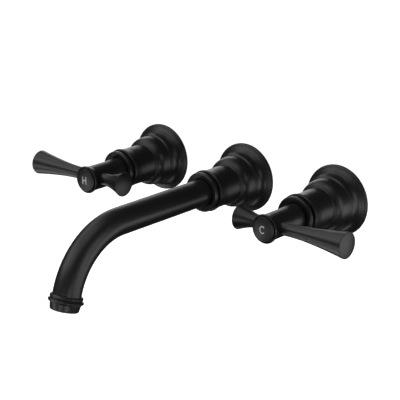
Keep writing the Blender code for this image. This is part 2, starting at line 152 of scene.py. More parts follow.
def rounded(corners: list[Corner], closed: bool = True) -> list[Point]:
    """Turn an outline's corners into points with fillets and support points.

    Args:
        corners: (along, radius, fillet) for each corner, in order.
        closed: Whether the last corner joins the first one.

    Returns:
        Points of the rounded outline. Straight runs get a point close to each end, which keeps
        smooth shading flat across them.
    """
    flat = [(along, radius) for along, radius, _ in corners]
    count = len(corners)
    points: list[Point] = []
    for index, (along, radius, fillet) in enumerate(corners):
        if not closed and index in (0, count - 1):
            points.append((along, radius))
            continue
        points += fillet_arc(flat[index - 1], flat[index], flat[(index + 1) % count], fillet)
    return supported(points, closed)


def supported(points: list[Point], closed: bool) -> list[Point]:
    """Add a point near each end of every long straight run.

    Args:
        points: Points of the outline.
        closed: Whether the last point joins the first one.

    Returns:
        The points with the new ones between them.
    """
    result: list[Point] = []
    runs = list(zip(points, points[1:] + points[:1]))
    if not closed:
        runs.pop()
    for first, second in runs:
        result.append(first)
        run = Vector(second) - Vector(first)
        if run.length > 4 * SUPPORT:
            nudge = run.normalized() * SUPPORT
            result.append(tuple(Vector(first) + nudge))
            result.append(tuple(Vector(second) - nudge))
    if not closed:
        result.append(points[-1])
    return result


def ellipse(centre: Point, radii: Point, start: float, end: float, steps: int) -> list[Corner]:
    """Put corners on the arc of an ellipse.

    Args:
        centre: Centre as (along, radius).
        radii: Half widths along the axis and across it.
        start: First angle in degrees, from the axis direction.
        end: Last angle in degrees.
        steps: Number of steps between them.

    Returns:
        Corners without fillets.
    """
    corners = []
    for step in range(steps + 1):
        angle = math.radians(start + (end - start) * step / steps)
        corners.append((centre[0] + radii[0] * math.cos(angle),
                        centre[1] + radii[1] * math.sin(angle), 0.0))
    return corners


# ------------------------------------------------------------------ axes and meshes

@dataclass(frozen=True)
class Axis:
    """A line that a piece is turned about, with the directions across it.

    Attributes:
        origin: Point where along is zero, in metres.
        out: Direction in which along grows.
        side: Direction across the axis where a turned piece starts.
    """

    origin: Vector
    out: Vector
    side: Vector

    def at(self, along: float, radius: float = 0.0, angle: float = 0.0) -> Vector:
        """Find a point by its place along and round the axis.

        Args:
            along: Distance along the axis.
            radius: Distance from the axis.
            angle: Angle in radians from the side direction.

        Returns:
            The point in metres.
        """
        up = self.out.cross(self.side)
        across = self.side * math.cos(angle) + up * math.sin(angle)
        return self.origin + (self.out * along + across * radius) * MM


def new_object(name: str, mesh_data: bmesh.types.BMesh, sharp: float = 34.0) -> bpy.types.Object:
    """Write a bmesh to a smooth-shaded object.

    Args:
        name: Name of the piece.
        mesh_data: Geometry in metres. It is freed here.
        sharp: Edges that turn by more than this many degrees stay crisp.

    Returns:
        The new object, linked to the scene.
    """
    bmesh.ops.recalc_face_normals(mesh_data, faces=mesh_data.faces)
    mesh = bpy.data.meshes.new(name)
    mesh_data.to_mesh(mesh)
    mesh_data.free()
    mesh.shade_smooth()
    mesh.set_sharp_from_angle(angle=math.radians(sharp))
    made = bpy.data.objects.new(name, mesh)
    bpy.context.scene.collection.objects.link(made)
    return made


def skin_rings(mesh_data: bmesh.types.BMesh, rings: list[list[bmesh.types.BMVert]],
               closed: bool) -> None:
    """Join rings of vertices in order.

    Args:
        mesh_data: The mesh that holds them.
        rings: The rings. A ring of one vertex is a pole.
        closed: Whether the last ring joins the first one.
    """
    pairs = list(zip(rings, rings[1:]))
    if closed:
        pairs.append((rings[-1], rings[0]))
    for first, second in pairs:
        sides = max(len(first), len(second))
        for index in range(sides):
            following = (index + 1) % sides
            corners = [first[index % len(first)], first[following % len(first)],
                       second[following % len(second)], second[index % len(second)]]
            unique = list(dict.fromkeys(corners))
            mesh_data.faces.new(unique)


def turned(name: str, points: list[Point], axis: Axis, sides: int = 96) -> bpy.types.Object:
    """Turn an outline about an axis.

    Args:
        name: Name of the piece.
        points: (along, radius) points. An outline that starts and ends on the axis is solid.
        axis: The line to turn about.
        sides: Number of flats round the piece.

    Returns:
        The finished object.
    """
    mesh_data = bmesh.new()
    rings = []
    for along, radius in points:
        if radius < 1e-6:
            rings.append([mesh_data.verts.new(axis.at(along))])
            continue
        rings.append([mesh_data.verts.new(axis.at(along, radius, math.tau * step / sides))
                      for step in range(sides)])
    solid = len(rings[0]) == 1 and len(rings[-1]) == 1
    skin_rings(mesh_data, rings, closed=not solid)
    return new_object(name, mesh_data)


# ------------------------------------------------------------------ shader node groups

class Group:
    """A shader node group with named inputs and outputs.

    Attributes:
        tree: The node tree being filled.
    """

    def __init__(self, name: str, inputs: dict[str, float], outputs: dict[str, str]) -> None:
        """Make an empty group.

        Args:
            name: Name of the group.
            inputs: Name and default of each number input.
            outputs: Name and socket type of each output.
        """
        self.tree = bpy.data.node_groups.new(name, "ShaderNodeTree")
        for label, default in inputs.items():
            socket = self.tree.interface.new_socket(label, in_out="INPUT",
                                                    socket_type="NodeSocketFloat")
            socket.default_value = default
        for label, kind in outputs.items():
            self.tree.interface.new_socket(label, in_out="OUTPUT", socket_type=kind)
        self.entry = self.tree.nodes.new("NodeGroupInput")
        self.exit = self.tree.nodes.new("NodeGroupOutput")

    def node(self, kind: str, settings: dict[str, object] | None = None,
             **values: object) -> bpy.types.Node:
        """Add a node.

        Args:
            kind: Blender's node type.
            settings: Attributes of the node to set first.
            **values: Socket defaults by socket name, with spaces as underscores.

        Returns:
            The new node.
        """
        made = self.tree.nodes.new(kind)
        for label, value in (settings or {}).items():
            setattr(made, label, value)
        for label, value in values.items():
            made.inputs[label.replace("_", " ")].default_value = value
        return made

    def link(self, source: bpy.types.NodeSocket, target: bpy.types.NodeSocket) -> None:
        """Join two sockets."""
        self.tree.links.new(source, target)

    def math(self, operation: str, first: object, second: object) -> bpy.types.NodeSocket:
        """Add a math node.

        Args:
            operation: Blender's name of the operation.
            first: First socket or number.
            second: Second socket or number.

        Returns:
            The socket of the result.
        """
        made = self.node("ShaderNodeMath", {"operation": operation})
        for socket, value in zip(made.inputs, (first, second)):
            if isinstance(value, bpy.types.NodeSocket):
                self.link(value, socket)
            else:
                socket.default_value = value
        return made.outputs[0]


def coat_grain_group() -> bpy.types.NodeTree:
    """Fine grain of a sprayed coating: a low orange-peel swell with a dry speckle on top.

    Returns:
        A group with Height, Tone and Gloss outputs.
    """
    group = Group("coat_grain", {"Swell Scale": 900.0, "Speckle Scale": 6500.0, "Mottle Scale": 60.0},
                  {"Height": "NodeSocketFloat", "Tone": "NodeSocketFloat", "Gloss": "NodeSocketFloat"})
    place = group.node("ShaderNodeTexCoord").outputs["Object"]
    noises = {}
    for label, detail in (("Swell Scale", 2.0), ("Speckle Scale", 3.0), ("Mottle Scale", 4.0)):
        noise = group.node("ShaderNodeTexNoise", Detail=detail, Roughness=0.55)
        group.link(place, noise.inputs["Vector"])
        group.link(group.entry.outputs[label], noise.inputs["Scale"])
        noises[label] = noise.outputs["Fac"]
    speckle = group.math("MULTIPLY", noises["Speckle Scale"], 0.45)
    group.link(group.math("ADD", noises["Swell Scale"], speckle), group.exit.inputs["Height"])
    blend = group.math("MULTIPLY", noises["Speckle Scale"], 0.5)
    tone = group.math("ADD", group.math("MULTIPLY", noises["Mottle Scale"], 0.5), blend)
    group.link(tone, group.exit.inputs["Tone"])
    group.link(noises["Mottle Scale"], group.exit.inputs["Gloss"])
    return group.tree


def turning_marks_group() -> bpy.types.NodeTree:
    """Fine tool lines round a part turned about an axis along Y.

    Returns:
        A group with Height and Tone outputs.
    """
    group = Group("turning_marks", {"Lines Scale": 5200.0, "Stain Scale": 90.0},
                  {"Height": "NodeSocketFloat", "Tone": "NodeSocketFloat"})
    place = group.node("ShaderNodeTexCoord").outputs["Object"]
    split = group.node("ShaderNodeSeparateXYZ")
    group.link(place, split.inputs[0])
    lines = group.node("ShaderNodeTexNoise", {"noise_dimensions": "1D"}, Detail=4.0)
    group.link(split.outputs["Y"], lines.inputs["W"])
    group.link(group.entry.outputs["Lines Scale"], lines.inputs["Scale"])
    stain = group.node("ShaderNodeTexNoise", Detail=5.0)
    group.link(place, stain.inputs["Vector"])
    group.link(group.entry.outputs["Stain Scale"], stain.inputs["Scale"])
    group.link(lines.outputs["Fac"], group.exit.inputs["Height"])
    tone = group.math("ADD", group.math("MULTIPLY", lines.outputs["Fac"], 0.4),
                      group.math("MULTIPLY", stain.outputs["Fac"], 0.6))
    group.link(tone, group.exit.inputs["Tone"])
    return group.tree


# ------------------------------------------------------------------ finishes

@dataclass(frozen=True)
class Finish:
    """Common part of every finish: a Principled surface with a texture group behind it.

    Attributes:
        slot: Record slot that the finish stands for.
        dark: Darker base colour of the surface's variation.
        light: Lighter base colour of the variation.
        roughness: Roughness range from the glossier to the duller spots.
        metallic: Metallic value.
        specular: Specular level.
        bump: Bump distance in metres.
        group: Name of the texture group.
        values: Inputs of the group that differ from its defaults.
    """

    slot: Slot
    dark: tuple[float, float, float]
    light: tuple[float, float, float]
    roughness: tuple[float, float]
    metallic: float = 0.0
    specular: float = 0.5
    bump: float = 0.00001
    group: str = "coat_grain"
    values: dict[str, float] = field(default_factory=dict)

    def build(self, groups: dict[str, bpy.types.NodeTree]) -> bpy.types.Material:
        """Make the material.

        Args:
            groups: Texture groups by name.

        Returns:
            The material.
        """
        made = bpy.data.materials.new(self.slot.value + "_finish")
        made.use_nodes = True
        nodes, links = made.node_tree.nodes, made.node_tree.links
        shader = nodes["Principled BSDF"]
        shader.inputs["Metallic"].default_value = self.metallic
        shader.inputs["Specular IOR Level"].default_value = self.specular
        texture = nodes.new("ShaderNodeGroup")
        texture.node_tree = groups[self.group]
        for label, value in self.values.items():
            texture.inputs[label].default_value = value
        colour = nodes.new("ShaderNodeMix")
        colour.data_type = "RGBA"
        colour.inputs["A"].default_value = (*self.dark, 1.0)
        colour.inputs["B"].default_value = (*self.light, 1.0)
        links.new(texture.outputs["Tone"], colour.inputs["Factor"])
        links.new(colour.outputs["Result"], shader.inputs["Base Color"])
        gloss = nodes.new("ShaderNodeMapRange")
        gloss.inputs["To Min"].default_value = self.roughness[0]
        gloss.inputs["To Max"].default_value = self.roughness[1]
        links.new(texture.outputs.get("Gloss") or texture.outputs["Tone"], gloss.inputs["Value"])
        links.new(gloss.outputs["Result"], shader.inputs["Roughness"])
        bump = nodes.new("ShaderNodeBump")
        bump.inputs["Strength"].default_value = 1.0
        bump.inputs["Distance"].default_value = self.bump
        links.new(texture.outputs["Height"], bump.inputs["Height"])
        links.new(bump.outputs["Normal"], shader.inputs["Normal"])
        return made


FINISHES: tuple[Finish, ...] = (
    Finish(Slot.MATTE_BLACK, (0.010, 0.010, 0.0103), (0.015, 0.015, 0.0155), (0.36, 0.42),
           bump=0.0000012),
    Finish(Slot.BRASS, (0.52, 0.36, 0.15), (0.78, 0.58, 0.28), (0.24, 0.40), metallic=1.0,
           bump=0.00001, group="turning_marks"),
    Finish(Slot.STEEL, (0.42, 0.42, 0.43), (0.62, 0.62, 0.63), (0.22, 0.34), metallic=1.0,
           bump=0.000006, group="turning_marks"),
    Finish(Slot.CERAMIC, (0.80, 0.79, 0.75), (0.90, 0.89, 0.86), (0.16, 0.26),
           values={"Mottle Scale": 200.0}, bump=0.000002),
    Finish(Slot.RUBBER, (0.012, 0.012, 0.012), (0.030, 0.030, 0.030), (0.55, 0.75), bump=0.00002),
    Finish(Slot.FOAM, (0.03, 0.03, 0.03), (0.11, 0.11, 0.11), (0.85, 0.95), bump=0.0003,
           values={"Swell Scale": 1500.0, "Speckle Scale": 3000.0, "Mottle Scale": 900.0}),
    Finish(Slot.PLASTIC, (0.50, 0.51, 0.52), (0.60, 0.61, 0.62), (0.34, 0.46), bump=0.00001),
    Finish(Slot.INDEX_FILL, (0.60, 0.57, 0.53), (0.72, 0.69, 0.65), (0.45, 0.6), bump=0.00001),
)


class Workshop:
    """Holds the finishes and hands every piece over to its CAD body.

    Attributes:
        materials: Material of each slot.
        node_slots: Slot of each CAD node.
        node_body: Body of each CAD node.
    """

    def __init__(self) -> None:
        """Build the texture groups once and the materials from them."""
        groups = {"coat_grain": coat_grain_group(), "turning_marks": turning_marks_group()}
        self.materials = {finish.slot: finish.build(groups) for finish in FINISHES}
        self.node_slots = {row["node"]: Slot(row["material_slot"])
                           for row in FRAME["record"]["subparts"]}
        self.node_body = {node: body for body, nodes in FRAME["record"]["behaviour"]["bodies"].items()
                          for node in nodes}

    def deliver(self, piece: bpy.types.Object, node: str) -> bpy.types.Object:
        """Dress a piece, let it stand for its CAD node and ride on that node's body.

        Args:
            piece: The finished mesh.
            node: The CAD node that it replaces.

        Returns:
            The same piece.
        """
        slot = self.node_slots[node]
        piece.data.materials.append(self.materials[slot])
        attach(piece, self.node_body[node])
        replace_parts(piece, node)
        LOG.info("%s: %d faces, slot %s, body %s", piece.name, len(piece.data.polygons), slot.value,
                 self.node_body[node])
        return piece

    def dress_node(self, node: str) -> None:
        """Give a carried-over CAD node its procedural material.

        Args:
            node: The CAD node.
        """
        mesh = FRAME["nodes"][node].data
        mesh.materials.clear()
        mesh.materials.append(self.materials[self.node_slots[node]])
        LOG.info("%s: kept from the design", node)


def unit_axis(side: Side) -> Axis:
    """Find the axis of a unit, out of the wall through the middle of its flange.

    Args:
        side: The unit.

    Returns:
        The axis, with along zero at the finished wall.
    """
    low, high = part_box(side.value + "_flange")
    middle = (low + high) / 2
    return Axis(Vector((middle.x, 0.0, middle.z)), Vector((0.0, -1.0, 0.0)), Vector((1.0, 0.0, 0.0)))


# ------------------------------------------------------------------ escutcheon

@dataclass
class Escutcheon:
    """Gasket, wall flange, bell and collar, alike on the three units.

    Attributes:
        side: The unit that it belongs to.
        flange_radius: Radius of the flange at the wall.
        flange_depth: How far the flange stands out.
        bead_radius: Radius of the bead at the bell's foot.
        bell_radius: Radius of the bell's side.
        shoulder_start: Where the bell's side turns into its shoulder.
        shoulder_depth: Length of the shoulder along the axis.
        neck_radius: Radius of the neck.
        lip_radius: Radius of the lip.
        bell_end: Front of the bell.
        collar_radius: Radius of the collar's disc.
        groove_radius: Bottom of the groove between lip and collar.
        collar_end: Front of the collar.
        collar_bore: Radius of the hole that the hub or pipe goes through.
        dish: How deep the collar's face is dished.
        seam: Gap between two pieces.
        sides: Number of flats round each piece.
    """

    side: Side
    flange_radius: float = 31.75
    flange_depth: float = 12.0
    bead_radius: float = 24.3
    bell_radius: float = 22.8
    shoulder_start: float = 20.0
    shoulder_depth: float = 8.6
    neck_radius: float = 17.4
    lip_radius: float = 18.8
    bell_end: float = 57.2
    collar_radius: float = 17.8
    groove_radius: float = 15.7
    collar_end: float = 63.6
    collar_bore: float = 12.6
    dish: float = 1.2
    seam: float = 0.12
    sides: int = 112

    def gasket(self) -> list[Point]:
        """Outline of the gasket, a flat ring in the back of the flange."""
        back, front, inner, outer, fillet = 0.05, 2.1, 19.6, 27.1, 0.4
        return rounded([(back, inner, fillet), (back, outer, fillet), (front, outer, fillet),
                        (front, inner, fillet)])

    def flange(self) -> list[Point]:
        """Outline of the flange: thin land, round shoulder and a cove, stepped at the back.

        Returns:
            (along, radius) points.
        """
        rim = self.flange_radius
        shoulder = ellipse((0.9, rim - 2.85), (2.0, 2.85), 90.0, 14.0, 10)
        cove = ellipse((self.flange_depth - 0.6, 31.2), (8.3, 7.1), -156.0, -92.0, 16)
        return rounded([(0.0, 27.3, 0.15), (0.0, rim, 0.3)] + shoulder + cove + [
            (self.flange_depth, self.bead_radius - 0.3, 0.2), (self.flange_depth, 16.0, 0.3),
            (9.5, 16.0, 0.3), (9.5, 19.0, 0.3), (2.2, 19.0, 0.2), (2.2, 27.3, 0.2)])

    def bell(self) -> list[Point]:
        """Outline of the bell: foot bead, side, elliptic shoulder, neck and lip.

        Returns:
            (along, radius) points.
        """
        foot = self.flange_depth + self.seam
        shoulder = ellipse((self.shoulder_start, self.neck_radius + 0.1),
                           (self.shoulder_depth, self.bell_radius - self.neck_radius - 0.1),
                           90.0, 6.0, 18)
        neck = [(29.2, self.neck_radius, 1.5), (48.0, self.neck_radius, 12.0),
                (self.bell_end - 2.6, self.lip_radius - 0.6, 1.5)]
        return rounded([
            (foot, 20.3, 0.2), (foot, self.bead_radius - 0.1, 0.5),
            (foot + 1.5, self.bead_radius, 0.7), (foot + 2.6, self.bell_radius + 0.15, 0.35)]
            + shoulder + neck + [
            (self.bell_end - 1.2, self.lip_radius, 0.9), (self.bell_end, self.lip_radius - 0.9, 0.35),
            (self.bell_end, 15.4, 0.3), (27.0, 15.4, 1.0), (24.0, 20.3, 2.0)])

    def collar(self) -> list[Point]:
        """Outline of the collar: tail in the neck, groove, thin rounded disc with a dished face.

        Returns:
            (along, radius) points.
        """
        start = self.bell_end + self.seam
        edge = self.collar_end - 3.3
        return rounded([
            (50.0, self.collar_bore, 0.2), (50.0, 15.2, 0.2), (start, 15.2, 0.0),
            (start, self.groove_radius, 0.1), (edge, self.groove_radius, 0.3),
            (edge + 0.1, self.collar_radius - 0.1, 0.4), (edge + 2.1, self.collar_radius, 0.7),
            (self.collar_end, self.collar_radius - 1.1, 0.45),
            (self.collar_end - self.dish, self.collar_bore, 0.3)])

    def build(self, shop: Workshop) -> None:
        """Build and deliver the four pieces.

        Args:
            shop: The workshop.
        """
        axis = unit_axis(self.side)
        for part in (self.gasket, self.flange, self.bell, self.collar):
            node = f"{self.side.value}_{part.__name__}"
            shop.deliver(turned(node + "_piece", part(), axis, self.sides), node)


# ------------------------------------------------------------------ bodies that enter the wall

VALVE_NOSE: list[Corner] = [
    (9.2, 15.1, 0.2), (46.0, 15.1, 0.6), (46.0, 10.0, 0.4), (14.0, 10.0, 0.3), (14.0, 5.0, 0.3)]


def nipple_nose(radius: float = 9.0, groove: float = 7.7, half_width: float = 1.0) -> list[Corner]:
    """Draw the nipple in front of its shoulder, with a groove for each O-ring.

    Args:
        radius: Radius of the nose.
        groove: Radius at the bottom of the grooves.
        half_width: Half the width of a groove.

    Returns:
        Corners from the shoulder to the bore.
    """
    corners: list[Corner] = [(9.2, radius, 0.2)]
    for middle in (38.0, 46.0):
        back, front = middle - half_width, middle + half_width
        corners += [(back, radius, 0.1), (back, groove, 0.1), (front, groove, 0.1), (front, radius, 0.1)]
    return corners + [(54.0, radius, 0.8), (54.0, 6.0, 0.3)]


@dataclass
class WallStub:
    """Body whose threaded stub enters the wall: a valve body or the spout's nipple.

    Attributes:
        side: The unit that it belongs to.
        node: The CAD node that it stands for.
        bore: Radius of the water way at the stub.
        nose: Corners of the part in front of the clamping shoulder, back down to the bore.
        back: Back end of the stub, behind the wall's face.
        stub_radius: Radius over the thread.
        stub_front: Where the stub meets the shoulder.
        shoulder_radius: Radius of the shoulder that clamps the flange.
        shoulder_front: Front of the shoulder.
        pitch: Pitch of the thread.
        depth: Depth of the thread.
    """

    side: Side
    node: str
    bore: float
    nose: list[Corner]
    back: float = -16.0
    stub_radius: float = 11.5
    stub_front: float = 3.0
    shoulder_radius: float = 18.4
    shoulder_front: float = 9.2
    pitch: float = 1.8
    depth: float = 0.9

    def build(self, shop: Workshop) -> None:
        """Build and deliver the turned body with a real helical thread on the stub.

        Args:
            shop: The workshop.
        """
        axis = unit_axis(self.side)
        plain = rounded([
            (self.back, self.bore, 0.4), (self.back, self.stub_radius - self.depth, 0.0),
            (self.stub_front, self.stub_radius - self.depth, 0.0),
            (self.stub_front, self.shoulder_radius, 0.5),
            (self.shoulder_front, self.shoulder_radius, 0.5)] + self.nose)
        body = turned(self.node + "_piece", self.threaded(plain), axis, 96)
        self.cut_thread(body, axis)
        shop.deliver(body, self.node)

    def threaded(self, points: list[Point]) -> list[Point]:
        """Add closely spaced points along the stub, for the thread to shape.

        Args:
            points: Outline of the body.

        Returns:
            The outline with the new points.
        """
        root = self.stub_radius - self.depth
        steps = round((self.stub_front - self.back) / self.pitch * 8)
        result: list[Point] = []
        for first, second in zip(points, points[1:] + points[:1]):
            result.append(first)
            on_stub = abs(first[1] - root) < 1e-6 and abs(second[1] - root) < 1e-6
            if on_stub and second[0] - first[0] > self.pitch:
                result += [(first[0] + (second[0] - first[0]) * step / steps, root)
                           for step in range(1, steps)]
        return result

    def cut_thread(self, body: bpy.types.Object, axis: Axis) -> None:
        """Raise a helical ridge on the stub, running out at both of its ends.

        Args:
            body: The turned body.
            axis: Its axis.
        """
        up = axis.out.cross(axis.side)
        root = (self.stub_radius - self.depth) * MM
        for vertex in body.data.vertices:
            offset = vertex.co - axis.origin
            along = offset.dot(axis.out) / MM
            across = offset - axis.out * offset.dot(axis.out)
            if abs(across.length - root) > 0.01 * MM or not self.back < along < self.stub_front:
                continue
            turn = math.atan2(across.dot(up), across.dot(axis.side)) / math.tau
            phase = (along / self.pitch - turn) % 1.0
            ridge = max(0.0, min(1.0, 1.6 - 3.2 * abs(phase - 0.5)))
            fade = min(1.0, (along - self.back) / self.pitch, (self.stub_front - along) / self.pitch)
            vertex.co += across.normalized() * (self.depth * ridge * max(0.0, fade) * MM)


# ------------------------------------------------------------------ lever

@dataclass
class Arm:
    """Trumpet-shaped lever arm.

    Attributes:
        length: Distance from the hub's axis to the flat end.
        throat: Radius beside the hub.
        throat_at: Distance from the hub's axis where the flare begins.
        end_radius: Radius at the end.
        power: How late the flare opens.
        edge: Fillet round the end.
        dome: Rise of the end's middle.
        saddle_end: Where the saddle has run out.
        steps: Number of steps along the flare.
    """

    length: float
    throat: float
    throat_at: float
    end_radius: float
    power: float = 1.55
    edge: float = 0.35
    dome: float = 0.9
    saddle_end: float = 14.0
    steps: int = 24

    def points(self) -> list[Point]:
        """Draw the outline past the saddle, from the throat to the middle of the domed end.

        Returns:
            (along, radius) points along the arm's axis.
        """
        reach = self.length - self.throat_at
        corners: list[Corner] = [(self.saddle_end, self.throat, 0.0)]
        for step in range(self.steps + 1):
            share = step / self.steps
            radius = self.throat + (self.end_radius - self.throat) * share ** self.power
            fillet = self.edge if step == self.steps else 0.0
            corners.append((self.throat_at + reach * share, radius, fillet))
        sphere = (self.end_radius ** 2 + self.dome ** 2) / (2 * self.dome)
        for share in (0.92, 0.75, 0.5, 0.25, 0.0):
            radius = self.end_radius * share
            lift = self.dome - (sphere - math.sqrt(sphere ** 2 - radius ** 2))
            corners.append((self.length + lift, radius, 0.0))
        return rounded(corners, closed=False)

    def build(self, name: str, axis: Axis, hub_radius: float, sides: int = 72) -> bpy.types.Object:
        """Build the arm with a saddle that fits round the hub.

        Args:
            name: Name of the piece.
            axis: The arm's axis, with side along the hub's own axis.
            hub_radius: Radius of the hub that the saddle touches.
            sides: Number of flats round the arm.

        Returns:
            The arm.
        """
        mesh_data = bmesh.new()
        angles = [math.tau * step / sides for step in range(sides)]
        rings = [[mesh_data.verts.new(axis.at(hub_radius))]]
        for share in (0.5, 1.0):
            ring = []
            for angle in angles:
                radius = self.throat * share
                across_hub = radius * math.sin(angle)
                along = math.sqrt(hub_radius ** 2 - across_hub ** 2)
                ring.append(mesh_data.verts.new(axis.at(along, radius, angle)))
            rings.append(ring)
        for along, radius in self.points():
            if radius < 1e-6:
                rings.append([mesh_data.verts.new(axis.at(along))])
                continue
            rings.append([mesh_data.verts.new(axis.at(along, radius, angle)) for angle in angles])
        skin_rings(mesh_data, rings, closed=False)
        return new_object(name, mesh_data)


@dataclass
class IndexButton:
    """Domed button in the hub's face with a filled index letter of plain strokes.

    Attributes:
        back: Where the button sits in the recess.
        rim: Height of the crown's edge.
        top: Height of the crown's middle.
        radius: Radius of the button.
        letter_height: Height of the letter.
        letter_width: Width of the H. The C is a little wider.
        stroke: Width of the letter's strokes.
        lift: How far the letter stands above the crown.
        cuts: Number of cuts each side of the middle that let the letter follow the crown.
        cut_spacing: Distance between the cuts.
    """

    back: float = 100.4
    rim: float = 104.7
    top: float = 106.15
    radius: float = 10.6
    letter_height: float = 7.0
    letter_width: float = 5.0
    stroke: float = 1.1
    lift: float = 0.05
    cuts: int = 8
    cut_spacing: float = 0.45

    def crown(self, radius: float) -> float:
        """Find the height of the crown.

        Args:
            radius: Distance from the button's middle.

        Returns:
            Height along the hub's axis.
        """
        rise = self.top - self.rim
        sphere = (self.radius ** 2 + rise ** 2) / (2 * rise)
        return self.top - sphere + math.sqrt(sphere ** 2 - radius ** 2)

    def button(self, name: str, axis: Axis) -> bpy.types.Object:
        """Build the button as a solid of revolution.

        Args:
            name: Name of the piece.
            axis: The hub's axis.

        Returns:
            The button.
        """
        steps = 14
        crown = [(self.crown(self.radius * (1 - step / steps)), self.radius * (1 - step / steps), 0.0)
                 for step in range(1, steps + 1)]
        corners = [(self.back, 0.0, 0.0), (self.back, self.radius, 0.3), (self.rim, self.radius, 0.35)]
        return turned(name, rounded(corners + crown, closed=False), axis, 96)

    def letter_outline(self, side: Side) -> list[Point]:
        """Draw a plain H for hot or a plain C for cold, round the middle of the crown.

        Args:
            side: Hot or cold.

        Returns:
            Corners of the letter as (right, up).
        """
        half_width, half_height, stroke = self.letter_width / 2, self.letter_height / 2, self.stroke
        if side is Side.HOT:
            quarter = [(half_width, half_height), (half_width - stroke, half_height),
                       (half_width - stroke, stroke / 2)]
            upper = quarter + [(-x, y) for x, y in reversed(quarter)]
            return upper + [(-x, -y) for x, y in upper]
        opening, steps = 42.0, 28
        wide = half_width + 0.4
        outer = ellipse((0.0, 0.0), (wide, half_height), opening, 360.0 - opening, steps)
        inner = ellipse((0.0, 0.0), (wide - stroke, half_height - stroke), 360.0 - opening, opening, steps)
        return [(x, y) for x, y, _ in outer + inner]

    def letter(self, name: str, axis: Axis, side: Side) -> bpy.types.Object:
        """Build the letter as a thin inlay that follows the crown.

        Args:
            name: Name of the piece.
            axis: The hub's axis.
            side: Hot or cold.

        Returns:
            The letter.
        """
        mesh_data = bmesh.new()
        corners = [mesh_data.verts.new((x, y, 0.0)) for x, y in self.letter_outline(side)]
        mesh_data.faces.new(corners)
        for step in range(-self.cuts, self.cuts + 1):
            for normal in ((1.0, 0.0, 0.0), (0.0, 1.0, 0.0)):
                geometry = mesh_data.verts[:] + mesh_data.edges[:] + mesh_data.faces[:]
                bmesh.ops.bisect_plane(mesh_data, geom=geometry, plane_no=normal,
                                       plane_co=Vector(normal) * step * self.cut_spacing)
        grown = bmesh.ops.extrude_face_region(mesh_data, geom=mesh_data.faces[:])["geom"]
        top = {item for item in grown if isinstance(item, bmesh.types.BMVert)}
        up = axis.out.cross(axis.side)
        upright = up if up.z > 0 else -up
        for vertex in mesh_data.verts:
            x, y, _ = vertex.co
            height = self.crown(math.hypot(x, y)) + (self.lift if vertex in top else -0.2)
            vertex.co = axis.at(height) + (Vector((1.0, 0.0, 0.0)) * x + upright * y) * MM
        return new_object(name, mesh_data)


@dataclass
class Lever:
    """Everything seen that turns with one handle.

    Attributes:
        side: Hot or cold.
        outward: Sense of the long arm along X.
        back: Back end of the hub.
        root_radius: Radius at the back end.
        radius: Radius of the waist.
        rim_radius: Radius of the flared rim.
        front: Front of the rim.
        recess_radius: Radius of the button's recess.
        arms_at: Where the arms' axis crosses the hub's.
        button: The index button.
        long_arm: The outer arm.
        short_arm: The inner arm.
    """

    side: Side
    outward: float
    back: float = 58.0
    root_radius: float = 12.1
    radius: float = 11.2
    rim_radius: float = 12.5
    front: float = 103.7
    recess_radius: float = 11.55
    arms_at: float = 91.1
    button: IndexButton = field(default_factory=IndexButton)
    long_arm: Arm = field(default_factory=lambda: Arm(72.8, 5.65, 22.0, 11.2))
    short_arm: Arm = field(default_factory=lambda: Arm(35.2, 5.65, 15.5, 11.2))

    def hub(self) -> list[Point]:
        """Outline of the hub: concave root, waist, flared rim and the button's recess."""
        return rounded([
            (self.back, 8.5, 0.3), (self.back, self.root_radius, 0.3),
            (63.8, self.root_radius, 6.0), (72.0, self.radius + 0.1, 14.0), (78.0, self.radius, 8.0),
            (98.2, self.radius, 6.0), (self.front - 1.7, self.rim_radius - 0.1, 1.2),
            (self.front - 0.5, self.rim_radius, 0.5), (self.front, self.rim_radius - 0.45, 0.2),
            (self.front, self.recess_radius, 0.25), (100.2, self.recess_radius, 0.2),
            (100.2, 4.2, 0.2), (96.5, 4.2, 0.2), (96.5, 2.4, 0.1), (92.3, 2.4, 0.1),
            (92.3, 4.6, 0.1), (76.0, 4.6, 0.2), (76.0, 8.5, 0.3)])

    def arm_axis(self, sense: float) -> Axis:
        """Find the axis of an arm, square to the hub.

        Args:
            sense: 1 for an arm to the right, -1 for one to the left.

        Returns:
            The axis.
        """
        hub_axis = unit_axis(self.side)
        return Axis(hub_axis.at(self.arms_at), Vector((sense, 0.0, 0.0)), hub_axis.out)

    def build(self, shop: Workshop) -> None:
        """Build and deliver the hub, arms, button and letter.

        Args:
            shop: The workshop.
        """
        axis, name = unit_axis(self.side), self.side.value
        shop.deliver(turned(name + "_hub_piece", self.hub(), axis, 96), name + "_hub")
        for part, arm, sense in (("long_arm", self.long_arm, self.outward),
                                 ("short_arm", self.short_arm, -self.outward)):
            node = f"{name}_{part}"
            made = arm.build(node + "_piece", self.arm_axis(sense), self.radius + 0.05)
            shop.deliver(made, node)
        shop.deliver(self.button.button(name + "_button_piece", axis), name + "_index_button")
        shop.deliver(self.button.letter(name + "_letter_piece", axis, self.side),
                     name + "_index_letter")


# ------------------------------------------------------------------ spout

